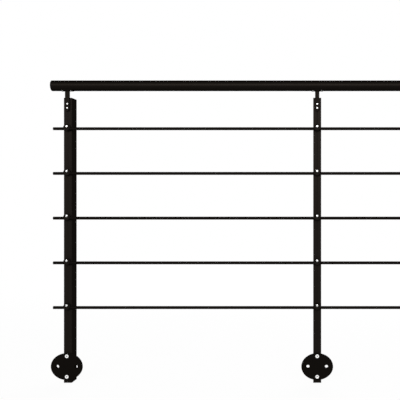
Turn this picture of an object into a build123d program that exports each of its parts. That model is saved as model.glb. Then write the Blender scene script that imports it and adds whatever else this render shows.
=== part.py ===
from build123d import *
import os

# A side-fixed aluminium railing: box posts on oval wall flanges, a round handrail and round rods.
# Millimetres. X runs along the railing, Y from the wall to the far side of the posts, Z is up.
# The origin is the centre of the middle flange, on the face that lies against the wall.

# Layout
post_names = ["left", "middle", "right"]
post_spacing = 1000.0

# Wall flange: an oval plate with two holes for wall anchors and two countersunk post bolts
flange_width = 127.0
flange_height = 107.0
flange_thickness = 12.0
flange_rim_radius = 11.0
flange_wall_chamfer = 0.6
anchor_hole_diameter = 13.5
anchor_spacing = 74.0
post_bolt_diameter = 8.0
post_bolt_head = 15.0
post_bolt_spacing = 82.0
post_bolt_sink = 0.6  # how far a bolt's head lies below the wall face

# Post: a box section with a guide groove down the middle of its front and back
post_width = 32.0
post_depth = 52.0
post_wall = 2.5
post_corner_radius = 1.0
post_inner_radius = 0.5
post_above_flange = 1075.0  # from the flange's centre up to the top of the post's cap
post_below_flange = 68.0  # from the flange's centre down to the underside of the foot cap
groove_width = 3.0
groove_depth = 0.8

# Post caps
cap_thickness = 3.0
cap_edge_radius = 0.5
cap_plug_length = 14.0
cap_plug_wall = 2.0

# Handrail tube and its end caps
rail_diameter = 42.4
rail_wall = 2.0
rail_overhang = 62.0  # from the axis of an end post to the outside of the end cap
rail_gap = 26.0  # from the top of a post to the underside of the handrail
rail_cap_thickness = 4.0
rail_cap_edge_radius = 1.2
rail_cap_plug_length = 16.0
rail_cap_plug_wall = 2.0

# Handrail bracket: a flat bar screwed to the post's front, welded to a saddle under the handrail
bar_width = 17.0
bar_thickness = 8.0
bar_drop = 54.0  # from the top of the post down to the bar's rounded end
bar_first_screw = 25.5  # from the top of the post down to the upper screw
bar_screw_count = 2
bar_screw_pitch = 16.0
bar_screw_diameter = 4.0
bar_screw_head = 7.0
saddle_length = 46.0
saddle_thickness = 1.2
saddle_half_angle = 40.0  # degrees of the handrail's girth on each side of its lowest line
saddle_corner_radius = 4.0
saddle_screw_spacing = 35.0
saddle_screw_angle = 24.0  # degrees of the handrail's girth from its lowest line to a screw
saddle_screw_diameter = 3.0

# Infill rods
rod_count = 5
rod_diameter = 12.0
lowest_rod_height = 235.0  # from the flange's centre to the axis of the lowest rod
top_rod_drop = 125.0  # from the top of the post down to the axis of the highest rod
rod_standoff = 7.7  # from the post's front to a rod's axis
rod_overhang = 55.0  # from the axis of an end post to a rod's end
rod_end_chamfer = 0.8

# Rod holders: round bosses, each with a rod through it and a screw above the rod
holder_diameter = 26.0
holder_front_wall = 2.1
holder_edge_radius = 2.2
holder_screw_diameter = 4.0
holder_screw_head = 8.6
holder_screw_sink = 2.4
holder_web = 0.6  # between a rod's bore and its screw hole

# Angles, in degrees
countersink_angle = 90.0  # across a countersunk head
lowest_line = -90.0  # straight down in a cross-section of the railing

# Clearances
hole_clearance = 0.4  # on the diameter of a screw or bolt hole
rod_clearance = 0.2  # around a rod in its holder
plug_clearance = 0.2  # around a cap's plug
seat_clearance = 0.1  # between the handrail and a saddle

# Sizes and places that follow
last_post = len(post_names) - 1
post_places = [(index - last_post / 2) * post_spacing for index in range(last_post + 1)]
end_post_place = last_post * post_spacing / 2
post_front = flange_thickness
post_foot = cap_thickness - post_below_flange
post_head = post_above_flange - cap_thickness
post_middle_y = post_front + post_depth / 2
inner_width = post_width - 2 * post_wall
inner_depth = post_depth - 2 * post_wall
rail_radius = rail_diameter / 2
rail_y = post_front - bar_thickness / 2
rail_z = post_above_flange + rail_gap + rail_radius
rail_half_length = end_post_place + rail_overhang - rail_cap_thickness
bar_screw_heights = [
    post_above_flange - bar_first_screw - n * bar_screw_pitch for n in range(bar_screw_count)
]
rod_radius = rod_diameter / 2
rod_bore_radius = rod_radius + rod_clearance
rod_y = post_front - rod_standoff
rod_pitch = (post_above_flange - top_rod_drop - lowest_rod_height) / (rod_count - 1)
rod_heights = [lowest_rod_height + n * rod_pitch for n in range(rod_count)]
rod_half_length = end_post_place + rod_overhang
holder_depth = rod_standoff + rod_bore_radius + holder_front_wall
holder_screw_hole = (holder_screw_diameter + hole_clearance) / 2
holder_screw_rise = rod_bore_radius + holder_web + holder_screw_hole
holder_rise = holder_screw_rise / 2  # the boss is centred between its rod and its screw


def wall_side(x, y, z):
    # Seen from the wall: local x is X, local y is Z, and the normal points at the wall, along -Y.
    return Plane(origin=(x, y, z), x_dir=(1, 0, 0), z_dir=(0, -1, 0))


def across_rail(x, y, z):
    # A cross-section of the railing: local x is Y, local y is Z, and the normal points along X.
    return Plane(origin=(x, y, z), x_dir=(0, 1, 0), z_dir=(1, 0, 0))


def saddle_screw_planes(x):
    # Two planes through the handrail's axis, one for the screws on each side of the lowest line:
    # local x is X, and the normal points out of the handrail, down and to that side.
    outward = [Vector(0, 0, -1).rotate(Axis.X, side * saddle_screw_angle) for side in (-1, 1)]
    return [Plane(origin=(x, rail_y, rail_z), x_dir=(1, 0, 0), z_dir=normal) for normal in outward]


def keep(piece, name):
    piece.label = name
    export_step(piece, f"parts/{name}.step")


def wall_flange(x):
    with BuildPart() as flange:
        with BuildSketch(wall_side(x, 0, 0)):
            Ellipse(flange_width / 2, flange_height / 2)
        extrude(amount=-flange_thickness)
        wall_face = flange.faces().sort_by(Axis.Y)[0]
        chamfer(wall_face.edges(), flange_wall_chamfer)
        post_face = flange.faces().sort_by(Axis.Y)[-1]
        fillet(post_face.edges(), flange_rim_radius)
        # A bolt's head lies below the wall face, so that it can't hold the flange off the wall.
        with Locations(wall_side(x, 0, 0)):
            with GridLocations(anchor_spacing, 0, 2, 1):
                Hole(anchor_hole_diameter / 2, depth=flange_thickness)
            with GridLocations(0, post_bolt_spacing, 1, 2):
                Hole((post_bolt_head + hole_clearance) / 2, depth=post_bolt_sink)
        with Locations(wall_side(x, post_bolt_sink, 0)):
            with GridLocations(0, post_bolt_spacing, 1, 2):
                CounterSinkHole(
                    (post_bolt_diameter + hole_clearance) / 2,
                    (post_bolt_head + hole_clearance) / 2,
                    depth=flange_thickness,
                    counter_sink_angle=countersink_angle,
                )
    return flange.part


def post(x):
    with BuildPart() as box:
        with BuildSketch(Plane((x, post_middle_y, post_foot))):
            RectangleRounded(post_width, post_depth, post_corner_radius)
            RectangleRounded(inner_width, inner_depth, post_inner_radius, mode=Mode.SUBTRACT)
            # The guide groove is a shallow V on the front and on the back.
            for side in (-1, 1):
                face = side * post_depth / 2
                with BuildLine():
                    Polyline(
                        (-groove_width / 2, face),
                        (0, face - side * groove_depth),
                        (groove_width / 2, face),
                        close=True,
                    )
                make_face(mode=Mode.SUBTRACT)
        extrude(amount=post_head - post_foot)
        # Holes in the front wall take the flange's bolts and the bracket's and holders' screws.
        with Locations(wall_side(x, post_front, 0)):
            with GridLocations(0, post_bolt_spacing, 1, 2):
                Hole((post_bolt_diameter + hole_clearance) / 2, depth=post_wall)
            with Locations([(0, z) for z in bar_screw_heights]):
                Hole(bar_screw_diameter / 2, depth=post_wall)
            with Locations([(0, z + holder_screw_rise) for z in rod_heights]):
                Hole(holder_screw_diameter / 2, depth=post_wall)
    return box.part


def post_cap(x, z, up):
    # A plate flush with the post and a hollow plug inside it. up is 1 for a top cap, -1 for a foot cap.
    plug_width = inner_width - 2 * plug_clearance
    plug_depth = inner_depth - 2 * plug_clearance
    with BuildPart() as cap:
        with BuildSketch(Plane((x, post_middle_y, z))):
            RectangleRounded(post_width, post_depth, post_corner_radius)
        extrude(amount=up * cap_thickness)
        outside = cap.faces().filter_by(Axis.Z).sort_by(Axis.Z)[-1 if up > 0 else 0]
        fillet(outside.edges(), cap_edge_radius)
        with BuildSketch(Plane((x, post_middle_y, z))):
            RectangleRounded(plug_width, plug_depth, post_inner_radius)
            Rectangle(plug_width - 2 * cap_plug_wall, plug_depth - 2 * cap_plug_wall, mode=Mode.SUBTRACT)
        extrude(amount=-up * cap_plug_length)
    return cap.part


def handrail():
    with BuildPart() as rail:
        with BuildSketch(across_rail(-rail_half_length, rail_y, rail_z)):
            Circle(rail_radius)
            Circle(rail_radius - rail_wall, mode=Mode.SUBTRACT)
        extrude(amount=2 * rail_half_length)
        # Each saddle has four screws, and they go through the lower side of the tube's wall.
        with BuildSketch(*[plane for x in post_places for plane in saddle_screw_planes(x)]):
            with GridLocations(saddle_screw_spacing, 0, 2, 1):
                Circle(saddle_screw_diameter / 2)
        extrude(amount=rail_radius, mode=Mode.SUBTRACT)
    return rail.part


def handrail_end_cap(outward):
    # A flat disc as wide as the handrail, with a hollow plug inside the tube.
    plug_radius = rail_radius - rail_wall - plug_clearance
    with BuildPart() as cap:
        with BuildSketch(across_rail(outward * rail_half_length, rail_y, rail_z)):
            Circle(rail_radius)
        extrude(amount=outward * rail_cap_thickness)
        outside = cap.faces().filter_by(Axis.X).sort_by(Axis.X)[-1 if outward > 0 else 0]
        fillet(outside.edges(), rail_cap_edge_radius)
        with BuildSketch(across_rail(outward * rail_half_length, rail_y, rail_z)):
            Circle(plug_radius)
            Circle(plug_radius - rail_cap_plug_wall, mode=Mode.SUBTRACT)
        extrude(amount=-outward * rail_cap_plug_length)
    return cap.part


def handrail_bracket(x):
    seat_radius = rail_radius + seat_clearance
    under_radius = seat_radius + saddle_thickness
    end_radius = bar_width / 2
    end_height = post_above_flange - bar_drop + end_radius
    with BuildPart() as bracket:
        # The saddle is a strip of tube wall, centred on the lowest line of the handrail.
        with BuildSketch(across_rail(x - saddle_length / 2, rail_y, rail_z)):
            with BuildLine():
                first = lowest_line - saddle_half_angle
                inner = CenterArc((0, 0), seat_radius, first, 2 * saddle_half_angle)
                outer = CenterArc((0, 0), under_radius, first, 2 * saddle_half_angle)
                Line(inner @ 0, outer @ 0)
                Line(inner @ 1, outer @ 1)
            make_face()
        extrude(amount=saddle_length)
        corners = bracket.edges().filter_by(GeomType.LINE).sort_by(SortBy.LENGTH)[:4]
        fillet(corners, saddle_corner_radius)
        # The bar runs up to the saddle's seat, where the handrail's own round cuts it off.
        with BuildSketch(wall_side(x, post_front, 0)):
            with Locations((0, (end_height + rail_z) / 2)):
                Rectangle(bar_width, rail_z - end_height)
            with Locations((0, end_height)):
                Circle(end_radius)
        extrude(amount=bar_thickness)
        with BuildSketch(across_rail(x, rail_y, rail_z)):
            Circle(seat_radius)
        extrude(amount=saddle_length, both=True, mode=Mode.SUBTRACT)
        with Locations(wall_side(x, post_front - bar_thickness, 0)):
            with Locations([(0, z) for z in bar_screw_heights]):
                CounterSinkHole(
                    (bar_screw_diameter + hole_clearance) / 2,
                    (bar_screw_head + hole_clearance) / 2,
                    depth=bar_thickness,
                    counter_sink_angle=countersink_angle,
                )
        with BuildSketch(*saddle_screw_planes(x)):
            with GridLocations(saddle_screw_spacing, 0, 2, 1):
                Circle((saddle_screw_diameter + hole_clearance) / 2)
        extrude(amount=under_radius, mode=Mode.SUBTRACT)
    return bracket.part


def infill_rod(z):
    with BuildPart() as rod:
        with BuildSketch(across_rail(-rod_half_length, rod_y, z)):
            Circle(rod_radius)
        extrude(amount=2 * rod_half_length)
        chamfer(rod.edges().filter_by(GeomType.CIRCLE), rod_end_chamfer)
    return rod.part


def rod_holder(x, z):
    with BuildPart() as holder:
        with BuildSketch(wall_side(x, post_front, z + holder_rise)):
            Circle(holder_diameter / 2)
        extrude(amount=holder_depth)
        fillet(holder.faces().sort_by(Axis.Y)[0].edges(), holder_edge_radius)
        with BuildSketch(across_rail(x, rod_y, z)):
            Circle(rod_bore_radius)
        extrude(amount=holder_diameter, both=True, mode=Mode.SUBTRACT)
        with Locations(wall_side(x, post_front - holder_depth, z + holder_screw_rise)):
            CounterBoreHole(
                holder_screw_hole,
                (holder_screw_head + hole_clearance) / 2,
                holder_screw_sink,
                depth=holder_depth,
            )
    return holder.part


os.makedirs("parts", exist_ok=True)

for name, x in zip(post_names, post_places):
    keep(wall_flange(x), f"wall_flange_{name}")
    keep(post(x), f"post_{name}")
    keep(post_cap(x, post_head, 1), f"post_top_cap_{name}")
    keep(post_cap(x, post_foot, -1), f"post_foot_cap_{name}")
    keep(handrail_bracket(x), f"handrail_bracket_{name}")
    for number, z in enumerate(rod_heights, start=1):
        keep(rod_holder(x, z), f"rod_holder_{name}_{number}")

for number, z in enumerate(rod_heights, start=1):
    keep(infill_rod(z), f"infill_rod_{number}")

keep(handrail(), "handrail")
keep(handrail_end_cap(-1), "handrail_end_cap_left")
keep(handrail_end_cap(1), "handrail_end_cap_right")
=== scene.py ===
import math

import bpy
import numpy as np
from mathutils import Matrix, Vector


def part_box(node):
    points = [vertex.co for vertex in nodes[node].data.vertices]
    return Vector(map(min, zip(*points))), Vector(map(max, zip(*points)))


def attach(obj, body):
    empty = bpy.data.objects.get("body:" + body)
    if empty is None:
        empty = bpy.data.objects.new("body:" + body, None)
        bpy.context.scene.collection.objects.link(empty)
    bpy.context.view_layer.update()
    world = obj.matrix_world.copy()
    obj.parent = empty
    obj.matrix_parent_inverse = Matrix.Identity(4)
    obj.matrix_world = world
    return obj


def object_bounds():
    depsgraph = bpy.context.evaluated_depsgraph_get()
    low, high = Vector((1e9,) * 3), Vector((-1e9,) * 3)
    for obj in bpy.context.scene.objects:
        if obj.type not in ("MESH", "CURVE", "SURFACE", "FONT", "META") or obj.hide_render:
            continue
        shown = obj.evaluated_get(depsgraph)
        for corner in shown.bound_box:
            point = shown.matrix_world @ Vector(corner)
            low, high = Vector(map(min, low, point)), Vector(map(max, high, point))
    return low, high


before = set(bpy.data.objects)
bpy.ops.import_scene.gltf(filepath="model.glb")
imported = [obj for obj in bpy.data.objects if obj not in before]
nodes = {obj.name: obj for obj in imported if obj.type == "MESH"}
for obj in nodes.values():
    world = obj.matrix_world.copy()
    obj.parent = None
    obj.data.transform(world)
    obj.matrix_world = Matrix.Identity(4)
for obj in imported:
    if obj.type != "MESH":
        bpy.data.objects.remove(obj)        # the railing's solids, in metres
cadBox = [list(corner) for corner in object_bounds()]
sides = ["left", "middle", "right"]
mm = 0.001               # piece dictionaries are in millimetres, the scene in metres
print("frame loaded:", len(nodes), "solids")


# Places read from the solids, so that each screw sits in its own hole

# the mean of the two corners of a node's box
def middleOf(node):
    low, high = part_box(node)
    return (low + high) / 2


postX = {side: middleOf("post_" + side).x for side in sides}
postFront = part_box("post_middle")[0].y
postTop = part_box("post_top_cap_middle")[1].z
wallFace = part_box("wall_flange_middle")[0].y
flangeZ = middleOf("wall_flange_middle").z
railAxis = middleOf("handrail")
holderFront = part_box("rod_holder_middle_1")[0].y
rodCount = sum(name.startswith("infill_rod_") for name in nodes)
rodZ = [middleOf(f"infill_rod_{n + 1}").z for n in range(rodCount)]
holderZ = [middleOf(f"rod_holder_middle_{n + 1}").z for n in range(rodCount)]


# Shader maths

class Wire:
    # a socket whose operators add Math nodes to its own tree
    def __init__(self, socket):
        self.socket = socket

    # any node: its settings come first, then the values or links of its inputs
    @staticmethod
    def node(tree, kind, settings=None, inputs=None, output=0):
        made = tree.nodes.new(kind)
        for name, value in (settings or {}).items():
            setattr(made, name, value)
        for name, value in (inputs or {}).items():
            if isinstance(value, Wire):
                tree.links.new(value.socket, made.inputs[name])
            else:
                made.inputs[name].default_value = value
        return Wire(made.outputs[output]) if made.outputs else None

    # another output of the same node
    def beside(self, name):
        return Wire(self.socket.node.outputs[name])

    # one Math node on two values, either of them a link or a number
    def maths(self, operation, first, second=0.0):
        tree = self.socket.id_data
        return Wire.node(tree, "ShaderNodeMath", {"operation": operation}, {0: first, 1: second})

    def __add__(self, other):
        return self.maths("ADD", self, other)

    def __radd__(self, other):
        return self.maths("ADD", other, self)

    def __sub__(self, other):
        return self.maths("SUBTRACT", self, other)

    def __rsub__(self, other):
        return self.maths("SUBTRACT", other, self)

    def __mul__(self, other):
        return self.maths("MULTIPLY", self, other)

    def __rmul__(self, other):
        return self.maths("MULTIPLY", other, self)

    def sine(self):
        return self.maths("SINE", self)

    def atMost(self, limit):
        return self.maths("MINIMUM", self, limit)


# Shared steps of the materials

octaves = {"few": 1.0, "some": 2.0, "many": 3.0}    # detail of a noise
noiseFalloff = 0.55                                 # share that each finer octave keeps
# black under a white surround shows no pale sheen at grazing angles
noSheen = {"Specular IOR Level": 0.0, "Specular Tint": (0, 0, 0, 1)}


# an empty material and its node tree
def newMaterial(name):
    material = bpy.data.materials.new(name)
    material.use_nodes = True
    material.node_tree.nodes.clear()
    return material, material.node_tree


# the place on the piece, in metres from its origin
def objectPlace(tree):
    return Wire.node(tree, "ShaderNodeTexCoord", None, None, "Object")


# a value that the mesh holds at each point
def pointValue(tree, label):
    return Wire.node(tree, "ShaderNodeAttribute", {"attribute_name": label}, None, "Fac")


# noise between 0 and 1 on the given coordinates, with so many bumps a metre
def noise(tree, place, scale, detail):
    inputs = {"Vector": place, "Scale": scale, "Detail": octaves[detail], "Roughness": noiseFalloff}
    return Wire.node(tree, "ShaderNodeTexNoise", {"noise_dimensions": "3D"}, inputs, "Fac")


# the sum of the named layers, each times its weight
def weighted(weights, layers):
    first, *others = [weight * layers[name] for name, weight in weights.items()]
    return sum(others, first)


# the same sum with each layer counted from its middle value, a half
def weightedSwing(weights, layers):
    return weighted(weights, {name: layers[name] - 0.5 for name in weights})


# a colour between two others, by a factor that varies over the surface
def blendColour(tree, factor, first, second):
    ends = [end if isinstance(end, Wire) else (*end, 1) for end in (first, second)]
    inputs = {0: factor, 6: ends[0], 7: ends[1]}    # 6, 7 and output 2 are the node's colour sockets
    return Wire.node(tree, "ShaderNodeMix", {"data_type": "RGBA"}, inputs, 2)


# the normal of a height from 0 to 1 that stands so many millimetres tall
def bumped(tree, height, strength, tall):
    inputs = {"Height": height, "Strength": strength, "Distance": tall * mm}
    return Wire.node(tree, "ShaderNodeBump", None, inputs)


# one shader with the given inputs, straight to the output
def surface(tree, inputs):
    shader = Wire.node(tree, "ShaderNodeBsdfPrincipled", None, inputs)
    Wire.node(tree, "ShaderNodeOutputMaterial", None, {"Surface": shader})


# Powder coat: orange peel a millimetre across, broad tone clouds, and streaks along the extrusion

# shade darkens the one black coat part by part, as painted shade: the flange, rail and rods darker than the
# posts
coatLooks = {
    "postCoat": {"grain": (520, 520, 5), "peel": 750, "height": 0.030,
                 "rough": 0.42, "gloss": 0.28, "shade": 0.90},
    "railCoat": {"grain": (4, 420, 420), "peel": 820, "height": 0.024,
                 "rough": 0.40, "gloss": 0.65, "shade": 0.56},
    "rodCoat": {"grain": (6, 700, 700), "peel": 950, "height": 0.020,
                "rough": 0.40, "gloss": 0.20, "shade": 0.50},
    "flangeCoat": {"grain": (180, 180, 180), "peel": 620, "height": 0.045,
                   "rough": 0.50, "gloss": 0.12, "shade": 0.49},
    "fittingCoat": {"grain": (260, 260, 260), "peel": 880, "height": 0.030,
                    "rough": 0.45, "gloss": 0.15, "shade": 0.85},
}
coatTone = {"dark": (0.0100, 0.0082, 0.0070), "light": (0.0160, 0.0131, 0.0108)}
coatMix = {
    "cloudScale": 9.0,
    "gritFiner": 3.1,    # grit is this many times finer than the peel
    "tone": {"clouds": 0.45, "streaks": 0.35, "peel": 0.20},
    "rough": {"clouds": 0.16, "peel": -0.12},
    "height": {"peel": 0.75, "grit": 0.15, "streaks": 0.10},
    "bump": 0.6,
}


# tone = clouds, streaks and peel weighted; roughness = base + clouds - peel;
# height = peel, grit and streaks weighted; colour = dark to light by tone
def powderCoat(name):
    look = coatLooks[name]
    # the dark and light ends times the coat's shade, the painted shade of its part
    dark, light = [tuple(look["shade"] * level for level in coatTone[end]) for end in ("dark", "light")]
    material, tree = newMaterial(name)
    place = objectPlace(tree)
    drawn = Wire.node(tree, "ShaderNodeMapping", None, {"Vector": place, "Scale": look["grain"]})
    layers = {
        "clouds": noise(tree, place, coatMix["cloudScale"], "many"),
        "streaks": noise(tree, drawn, 1.0, "many"),
        "peel": noise(tree, place, look["peel"], "some"),
        "grit": noise(tree, place, coatMix["gritFiner"] * look["peel"], "few"),
    }
    surface(tree, {
        "Base Color": blendColour(tree, weighted(coatMix["tone"], layers), dark, light),
        "Roughness": look["rough"] + weightedSwing(coatMix["rough"], layers),
        "Metallic": look["gloss"],
        "Normal": bumped(tree, weighted(coatMix["height"], layers), coatMix["bump"], look["height"]),
        **noSheen,
    })
    return material


# Moulded plastic: a fine even spark-eroded grain with a few duller patches

plasticLook = {"dark": (0.0085, 0.0080, 0.0076), "light": (0.0150, 0.0142, 0.0132),
               "grain": 1500, "height": 0.018, "rough": 0.52, "gloss": 0.15}
plasticMix = {"patchScale": 60.0, "tone": {"grain": 0.6, "patches": 0.4}, "rough": {"patches": 0.2},
              "bump": 0.6}


# tone = grain and patches weighted; roughness = base + patches; height = grain
def mouldedPlastic(name):
    material, tree = newMaterial(name)
    place = objectPlace(tree)
    layers = {
        "grain": noise(tree, place, plasticLook["grain"], "few"),
        "patches": noise(tree, place, plasticMix["patchScale"], "many"),
    }
    tone = weighted(plasticMix["tone"], layers)
    surface(tree, {
        "Base Color": blendColour(tree, tone, plasticLook["dark"], plasticLook["light"]),
        "Roughness": plasticLook["rough"] + weightedSwing(plasticMix["rough"], layers),
        "Metallic": plasticLook["gloss"],
        "Normal": bumped(tree, layers["grain"], plasticMix["bump"], plasticLook["height"]),
        **noSheen,
    })
    return material


# Turned steel: tool rings around each screw's own axis, fine scratches, and painted shade deep in the socket

# boltSteel is painted lighter and screwSteel darker, as painted light and shade: the low flange bolts catch
# less of the front lamp than the screws higher up
steelLooks = {
    "boltSteel": {"dark": (0.86, 0.86, 0.85), "light": (0.96, 0.96, 0.95),
                  "ringGap": 0.22, "height": 0.003, "rough": 0.22},
    "screwSteel": {"dark": (0.57, 0.57, 0.56), "light": (0.66, 0.66, 0.65),
                   "ringGap": 0.16, "height": 0.002, "rough": 0.30},
}
steelMix = {
    # colour of the painted shade deep in a socket
    "socketShade": (0.045, 0.042, 0.038),
    "wobbleScale": 900.0,
    "scratchScale": 4200.0,
    "ringWobble": 2.0,    # radians that the noise moves a ring
    "tone": {"rings": 0.35, "scratches": 0.65},
    "rough": {"rings": 0.10},
    "shadeBase": 0.7,      # painted shade at full depth, and what the noise adds
    "shadeWobble": 0.5,
    "shadeDull": 0.8,      # what full painted shade takes from metallic, and adds to roughness
    "shadeRough": 0.35,
    "bump": 0.5,
}


# rings = half + half the sine of the radius over the ring gap, moved by noise; tone = rings and scratches
# weighted; shaded = socket depth times noise, at most 1; colour = dark to light by tone, to painted shade by
# shaded
def turnedSteel(name):
    look = steelLooks[name]
    material, tree = newMaterial(name)
    place = objectPlace(tree)
    radius = pointValue(tree, "turnRadius")
    depth = pointValue(tree, "socketDepth")
    wobble = noise(tree, place, steelMix["wobbleScale"], "some")
    turns = radius * (2 * math.pi / (look["ringGap"] * mm)) + steelMix["ringWobble"] * wobble
    layers = {
        "rings": 0.5 + 0.5 * turns.sine(),
        "scratches": noise(tree, place, steelMix["scratchScale"], "many"),
    }
    bright = blendColour(tree, weighted(steelMix["tone"], layers), look["dark"], look["light"])
    # painted shade: the socket grows darker, less metallic and rougher with depth, where its recess lies in
    # shade
    shaded = (depth * (steelMix["shadeBase"] + steelMix["shadeWobble"] * wobble)).atMost(1.0)
    roughness = look["rough"] + weightedSwing(steelMix["rough"], layers)
    surface(tree, {
        "Base Color": blendColour(tree, shaded, bright, steelMix["socketShade"]),
        "Metallic": 1.0 - steelMix["shadeDull"] * shaded,
        "Roughness": roughness + steelMix["shadeRough"] * shaded,
        "Normal": bumped(tree, layers["rings"], steelMix["bump"], look["height"]),
    })
    return material


finishes = {name: powderCoat(name) for name in coatLooks}
finishes["capPlastic"] = mouldedPlastic("capPlastic")
finishes.update({name: turnedSteel(name) for name in steelLooks})

# the finish of each solid goes by the longest of these that its name starts with
nodeFinish = {
    "wall_flange_": "flangeCoat",
    "post_": "postCoat",
    "post_top_cap_": "capPlastic",
    "post_foot_cap_": "capPlastic",
    "handrail": "railCoat",
    "handrail_end_cap_": "capPlastic",
    "handrail_bracket_": "fittingCoat",
    "infill_rod_": "rodCoat",
    "rod_holder_": "fittingCoat",
}
for name, node in nodes.items():
    longest = max((start for start in nodeFinish if name.startswith(start)), key=len)
    for slot in node.material_slots:
        slot.material = finishes[nodeFinish[longest]]
print("finishes:", ", ".join(sorted(finishes)))


# Meshes from arrays

sharpAngle = 32          # degrees between two faces, past which their edge stays sharp


# a piece of the railing from its points and faces, with values at its points for the material
def newPiece(name, points, faces, finish, floats=None):
    mesh = bpy.data.meshes.new(name)
    mesh.from_pydata(points.tolist(), [], faces)
    mesh.polygons.foreach_set("use_smooth", np.ones(len(mesh.polygons), bool))
    mesh.set_sharp_from_angle(angle=math.radians(sharpAngle))
    for label, values in (floats or {}).items():
        mesh.attributes.new(label, "FLOAT", "POINT").data.foreach_set("value", values)
    mesh.materials.append(finishes[finish])
    mesh.update()
    piece = bpy.data.objects.new(name, mesh)
    bpy.context.scene.collection.objects.link(piece)
    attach(piece, "root")
    return piece


# Screws, turned on their own axis from rows of (radius, height, hexagon, socket)

spokes = 48              # points around a screw
goldenTurn = 2.39996     # radians from one screw's turn to the next
toWall = 90              # facing of a head that looks level towards the wall


# the x, y and outward axes of a piece that looks so many degrees up from straight down, towards the wall
def axesAt(degrees):
    rise = math.radians(degrees)
    ahead, down = math.sin(rise), math.cos(rise)
    return [(1, 0, 0), (0, -down, ahead), (0, -ahead, -down)]


# The rows go from the socket's middle over the head to the tip. Around the axis the radius goes from a
# circle (hexagon 0) to a hexagon of that half width (hexagon 1): radius / cos(angle from the middle of the
# nearest flat). Rows in the socket have socket 1. Copies stand at the seats, each turned a bit further.
def turnedPieces(name, rows, seats, facings, finish="screwSteel"):
    rows = np.array(rows, float)
    seats = np.array(seats, float)
    count, rings = len(seats), len(rows)
    angle = np.linspace(0, 2 * np.pi, spokes, endpoint=False)
    flat = 1 / np.cos(np.mod(angle, np.pi / 3) - np.pi / 6)
    radius = rows[:, :1] * mm * (1 + rows[:, 2:3] * (flat - 1))
    height = np.repeat(rows[:, 1:2] * mm, spokes, axis=1)
    turned = angle + goldenTurn * np.arange(count)[:, None, None]
    local = np.stack(np.broadcast_arrays(radius * np.cos(turned), radius * np.sin(turned), height), axis=-1)
    axes = np.array([axesAt(degrees) for degrees in facings])
    placed = local @ axes[:, None] + seats[:, None, None, :]
    ends = placed[:, [0, -1]].mean(axis=2)        # poles, one vertex each
    inner = placed[:, 1:-1].reshape(count, -1, 3)
    points = np.concatenate([inner, ends], axis=1)

    grid = np.arange((rings - 2) * spokes).reshape(rings - 2, spokes)
    after = np.roll(grid, -1, axis=1)
    quads = np.stack([grid[:-1], grid[1:], after[1:], after[:-1]], axis=-1).reshape(-1, 4)
    floor, tip = grid.size, grid.size + 1
    starts = np.stack([np.full(spokes, floor), grid[0], after[0]], axis=-1)
    finals = np.stack([grid[-1], np.full(spokes, tip), after[-1]], axis=-1)
    shift = (np.arange(count) * points.shape[1])[:, None, None]
    faces = (quads + shift).reshape(-1, 4).tolist()
    faces += (np.concatenate([starts, finals]) + shift).reshape(-1, 3).tolist()

    socketDepth = np.clip(rows[:, 1] / rows[0, 1], 0, 1) * rows[:, 3]    # 0 at the face, 1 at the middle
    ringRadius = np.concatenate([radius[1:-1].ravel(), [0, 0]])
    ringDepth = np.concatenate([np.repeat(socketDepth[1:-1], spokes), [1, 0]])
    floats = {"turnRadius": np.tile(ringRadius, count), "socketDepth": np.tile(ringDepth, count)}
    return newPiece(name, points.reshape(-1, 3), faces, finish, floats)


# shares of the half width across flats, but midWall is a share of the depth; the edges are in millimetres
socketShape = {"drillDepth": 0.3, "drillWidth": 0.6, "floorWidth": 0.96, "midWall": 0.6,
               "mouthWidth": 1.16, "mouthDepth": 0.22}
socketEdges = {"floorRound": 0.1, "mouthDrop": 0.04, "mouthRound": 0.08}


# the radius of a socket's mouth: its share of the half width, and the rounding of its edge
def mouthRadius(flats):
    return socketShape["mouthWidth"] * flats / 2 + socketEdges["mouthRound"]


# the rows of a hexagon socket, from its drilled middle up its walls to the edge of its mouth
def socketRows(flats, depth):
    shape = socketShape
    half = flats / 2
    mouth = mouthRadius(flats)
    return [
        (0, -depth - shape["drillDepth"] * half, 0, 1),
        (shape["drillWidth"] * half, -depth, 0, 1),
        (shape["floorWidth"] * half, -depth, 1, 1),
        (half, -depth + socketEdges["floorRound"], 1, 1),
        (half, -shape["midWall"] * depth, 1, 1),
        (half, -shape["mouthDepth"] * half, 1, 1),
        (mouth - socketEdges["mouthRound"], -socketEdges["mouthDrop"], 0, 0),
        (mouth, 0, 0, 0),
    ]


# the rows of a shank of the given radius that ends in a tip broken at 45 degrees
def shankRows(radius, length, tip):
    return [
        (radius, -length + tip, 0, 0),
        (radius - tip, -length, 0, 0),
        (0, -length, 0, 0),
    ]


# the top's inner ring as a share of the head, and two points of the rim's rounding
countersunkEdges = {"topRing": 0.72, "rimIn": (0.30, 0.09), "rimDrop": (0.06, 0.25), "tip": 0.6}


# the rows of a countersunk head and its shank: flat top, rounded rim, cone at 45 degrees, shank, tip
def countersunkRows(look):
    head, shank, rim = look["head"] / 2, look["shank"] / 2, look["rim"]
    edges = countersunkEdges
    neck = rim + head - shank
    return socketRows(look["flats"], look["depth"]) + [
        (edges["topRing"] * head, 0, 0, 0),
        (head - edges["rimIn"][0], 0, 0, 0),
        (head - edges["rimIn"][1], -edges["rimDrop"][0], 0, 0),
        (head, -edges["rimDrop"][1], 0, 0),
        (head, -rim, 0, 0),
        (shank, -neck, 0, 0),
    ] + shankRows(shank, look["length"], edges["tip"])


roundEdges = {"crownSteps": 6, "under": 0.1, "tip": 0.4}


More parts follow.
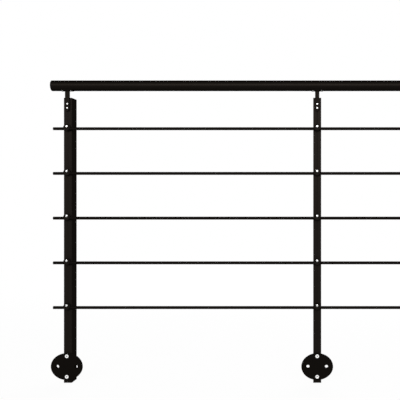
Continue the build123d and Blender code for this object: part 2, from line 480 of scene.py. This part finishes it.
# the rows of a rounded head: crown falling by a quarter circle to the rim, flat underside, shank, tip
def roundHeadRows(look):
    head, shank, tall = look["head"] / 2, look["shank"] / 2, look["tall"]
    mouth = mouthRadius(look["flats"])
    swing = np.linspace(0, np.pi / 2, roundEdges["crownSteps"] + 1)[1:]
    crown = np.zeros((len(swing), 4))
    crown[:, 0] = mouth + (head - mouth) * np.sin(swing)
    crown[:, 1] = -look["crown"] * (1 - np.cos(swing))
    return socketRows(look["flats"], look["depth"]) + crown.tolist() + [
        (head, -tall + roundEdges["under"], 0, 0),
        (head - roundEdges["under"], -tall, 0, 0),
        (shank, -tall, 0, 0),
    ] + shankRows(shank, look["length"], roundEdges["tip"])


# Bolts through the wall flange into the post, with their heads below the wall face

flangeBolt = {"head": 14.5, "shank": 7.9, "rim": 0.5, "flats": 5.0, "depth": 3.6, "length": 22,
              "spacing": 82, "sink": 0.6}


# one bolt half the spacing above the flange's middle, one below
def flangeBolts(side):
    reach = flangeBolt["spacing"] / 2 * mm
    front = wallFace + flangeBolt["sink"] * mm
    seats = [(postX[side], front, flangeZ + way * reach) for way in (1, -1)]
    rows = countersunkRows(flangeBolt)
    return turnedPieces("flange_bolts_" + side, rows, seats, [toWall] * len(seats), "boltSteel")


# The bracket's own sizes: its bar, and the radius of the saddle's underside about the rail's axis

bracket = {"barWidth": 17, "barThickness": 8, "saddleUnder": 22.5}


# Countersunk screws through the bracket's bar into the post

bracketScrew = {"head": 5.7, "shank": 3.9, "rim": 0.3, "flats": 2.0, "depth": 1.3, "length": 14,
                "first": 25.5, "pitch": 16, "count": 2, "sink": 0.65}


# the first screw a set drop below the post's top, the next a pitch lower
def bracketScrews(side):
    front = postFront - (bracket["barThickness"] - bracketScrew["sink"]) * mm
    drops = (bracketScrew["first"] + bracketScrew["pitch"] * np.arange(bracketScrew["count"])) * mm
    seats = [(postX[side], front, postTop - drop) for drop in drops]
    rows = countersunkRows(bracketScrew)
    return turnedPieces("bracket_screws_" + side, rows, seats, [toWall] * len(seats))


# Low round-headed screws in the counterbores of the rod holders, above each rod

holderScrew = {"head": 8.6, "shank": 3.9, "crown": 0.8, "tall": 2.35, "flats": 2.5, "depth": 1.5,
               "length": 22}


# each screw as far above its holder's middle as the rod is below it
def holderScrews(side):
    seats = [(postX[side], holderFront, 2 * middle - rod) for middle, rod in zip(holderZ, rodZ)]
    rows = roundHeadRows(holderScrew)
    return turnedPieces("holder_screws_" + side, rows, seats, [toWall] * len(seats))


# Four small round-headed screws through each saddle into the handrail

saddleScrew = {"head": 3.8, "shank": 2.9, "crown": 0.6, "tall": 0.9, "flats": 1.3, "depth": 0.5,
               "length": 6, "spacing": 35, "angle": 24}


# two screws on each side of the bar, set square to the rail at an angle before and behind straight down
def saddleScrews(side):
    out = (bracket["saddleUnder"] + saddleScrew["tall"]) * mm
    reach = saddleScrew["spacing"] / 2 * mm
    facings = [way * saddleScrew["angle"] for way in (1, 1, -1, -1)]
    seats = [Vector(axesAt(facing)[2]) * out + railAxis for facing in facings]
    seats = [(postX[side] + way * reach, seat.y, seat.z) for way, seat in zip((-1, 1, -1, 1), seats)]
    return turnedPieces("saddle_screws_" + side, roundHeadRows(saddleScrew), seats, facings)


# Weld bead round the bar, under the saddle

weldBead = {"radius": 1.2, "ripples": 26, "rippleDepth": 0.10, "squareness": 8, "steps": 416, "around": 14}


# The path is a squared ellipse round the bar's section, |x/a|^n + |y/b|^n = 1 for a squareness of n, lifted
# onto the saddle's round; the profile is a circle whose radius ripples along the path.
def weldBeadOf(side):
    look = weldBead
    turn = np.linspace(0, 2 * np.pi, look["steps"], endpoint=False)
    wave = np.linspace(0, 2 * np.pi, look["around"], endpoint=False)
    across, ahead = np.cos(turn), np.sin(turn)
    x = bracket["barWidth"] / 2 * np.sign(across) * np.abs(across) ** (2 / look["squareness"])
    y = bracket["barThickness"] / 2 * np.sign(ahead) * np.abs(ahead) ** (2 / look["squareness"])
    z = -np.sqrt(bracket["saddleUnder"] ** 2 - y ** 2)
    along = np.stack([np.gradient(np.r_[x, x[:2]])[:-2], np.gradient(np.r_[y, y[:2]])[:-2]], axis=-1)
    along /= np.linalg.norm(along, axis=1, keepdims=True)
    outX, outY = along[:, 1], -along[:, 0]
    run = np.r_[0, np.cumsum(np.hypot(np.diff(x), np.diff(y)))]
    ripple = np.abs(np.sin(np.pi * look["ripples"] * run / run[-1]))
    radius = (look["radius"] * (1 - look["rippleDepth"] + look["rippleDepth"] * ripple))[:, None]
    points = np.stack([
        postX[side] + (x[:, None] + radius * np.cos(wave) * outX[:, None]) * mm,
        railAxis.y + (y[:, None] + radius * np.cos(wave) * outY[:, None]) * mm,
        railAxis.z + (z[:, None] + radius * np.sin(wave)) * mm,
    ], axis=-1)
    grid = np.arange(look["steps"] * look["around"]).reshape(look["steps"], look["around"])
    onward, upward = np.roll(grid, -1, axis=0), np.roll(grid, -1, axis=1)
    both = np.roll(onward, -1, axis=1)
    faces = np.stack([grid, onward, both, upward], axis=-1).reshape(-1, 4).tolist()
    return newPiece("weld_bead_" + side, points.reshape(-1, 3), faces, "fittingCoat")


for side in sides:
    for make in (flangeBolts, bracketScrews, holderScrews, saddleScrews, weldBeadOf):
        piece = make(side)
        print("piece", piece.name, len(piece.data.polygons), "faces")


# Studio, in metres: a pale floor, a white surround for what the eye and metal see, and soft lamps

floorLook = {"reach": 30.0, "gap": 0.002, "lines": 13, "glow": 0.95, "fadeFrom": 1.6, "fadeTo": 5.0,
             "tone": (0.40, 0.40, 0.40), "seen": (0.95, 0.95, 0.95)}
ambient = 0.15           # strength of the surround's light on the railing, while the eye sees it white
lamps = {
    "front": {"place": (-0.3, -5.2, 2.6), "aim": (-0.3, 0, 0.6), "size": (6.4, 2.4), "watts": 325},
    "back": {"place": (0.8, 4.6, 1.9), "aim": (0.0, 0, 0.6), "size": (8.0, 1.6), "watts": 330},
}


# 1 on rays from the eye, in metal and through glass, 0 on rays that only carry light
def seenRays(tree):
    camera = Wire.node(tree, "ShaderNodeLightPath", None, None, "Is Camera Ray")
    return (camera + camera.beside("Is Glossy Ray") + camera.beside("Is Transmission Ray")).atMost(1.0)


# white, with strength = ambient on rays that carry light and 1 on seen ones
def makeSurround():
    world = bpy.data.worlds.new("surround")
    world.use_nodes = True
    tree = world.node_tree
    tree.nodes.clear()
    strength = ambient + (1 - ambient) * seenRays(tree)
    light = Wire.node(tree, "ShaderNodeBackground", None, {"Color": (1, 1, 1, 1), "Strength": strength})
    Wire.node(tree, "ShaderNodeOutputWorld", None, {"Surface": light})
    bpy.context.scene.world = world


# a matt floor, paler on seen rays, under a glow on those rays: the glow's share rises to 1 with the distance
# from the railing, so that the shadow fades out and no horizon shows
def paleFloor():
    material, tree = newMaterial("paleFloor")
    seen = seenRays(tree)
    lit, shown = [Wire.node(tree, "ShaderNodeBsdfDiffuse", None, {"Color": (*floorLook[end], 1)})
                  for end in ("tone", "seen")]
    matt = Wire.node(tree, "ShaderNodeMixShader", None, {0: seen, 1: lit, 2: shown})
    glow = Wire.node(tree, "ShaderNodeEmission", None, {"Strength": 1.0})
    place = objectPlace(tree)
    distance = Wire.node(tree, "ShaderNodeVectorMath", {"operation": "LENGTH"}, {0: place}, "Value")
    share = Wire.node(tree, "ShaderNodeMapRange", {"interpolation_type": "SMOOTHSTEP"}, {
        "Value": distance, "From Min": floorLook["fadeFrom"], "From Max": floorLook["fadeTo"],
        "To Min": floorLook["glow"], "To Max": 1.0})
    mixed = Wire.node(tree, "ShaderNodeMixShader", None, {0: share * seen, 1: matt, 2: glow})
    Wire.node(tree, "ShaderNodeOutputMaterial", None, {"Surface": mixed})
    return material


# a square grid just under the railing, x and y from -reach to reach
def makeFloor():
    line = np.linspace(-floorLook["reach"], floorLook["reach"], floorLook["lines"])
    x, y = np.meshgrid(line, line)
    z = np.full_like(x, cadBox[0][2] - floorLook["gap"])
    grid = np.arange(x.size).reshape(x.shape)
    faces = np.stack([grid[:-1, :-1], grid[:-1, 1:], grid[1:, 1:], grid[1:, :-1]], axis=-1).reshape(-1, 4)
    mesh = bpy.data.meshes.new("floor")
    mesh.from_pydata(np.stack([x, y, z], axis=-1).reshape(-1, 3).tolist(), [], faces.tolist())
    mesh.materials.append(paleFloor())
    floor = bpy.data.objects.new("floor", mesh)
    bpy.context.scene.collection.objects.link(floor)


# a wide area lamp at its place, turned so that it looks at its aim
def makeLamp(name):
    look = lamps[name]
    lamp = bpy.data.lights.new(name, "AREA")
    lamp.shape = "RECTANGLE"
    lamp.size, lamp.size_y = look["size"]
    lamp.energy = look["watts"]
    holder = bpy.data.objects.new(name, lamp)
    holder.location = look["place"]
    holder.rotation_euler = (Vector(look["aim"]) - holder.location).to_track_quat("-Z", "Y").to_euler()
    holder.visible_camera = False
    bpy.context.scene.collection.objects.link(holder)


makeSurround()
makeFloor()
for name in lamps:
    makeLamp(name)
bpy.context.scene.view_settings.view_transform = "Standard"
print("studio ready:", len(lamps), "lamps")


# Camera: level, square to the wall, in front of the middle post, shifted so that the left end is in view

# metres for its place, millimetres for lens and sensor, degrees up from straight down for its tilt
view = {"away": 2.521, "height": 0.665, "lens": 56.85, "sensor": 36, "shiftX": -0.293, "tilt": 90}


# on the middle post's line, so far out from the wall face and so high above the flanges' middle
def makeCamera():
    camera = bpy.data.cameras.new("wallView")
    camera.sensor_width = view["sensor"]
    camera.lens = view["lens"]
    camera.shift_x = view["shiftX"]
    holder = bpy.data.objects.new("wallView", camera)
    holder.location = (postX["middle"], wallFace - view["away"], view["height"])
    holder.rotation_euler = (math.radians(view["tilt"]), 0, 0)
    bpy.context.scene.collection.objects.link(holder)
    bpy.context.scene.camera = holder


makeCamera()
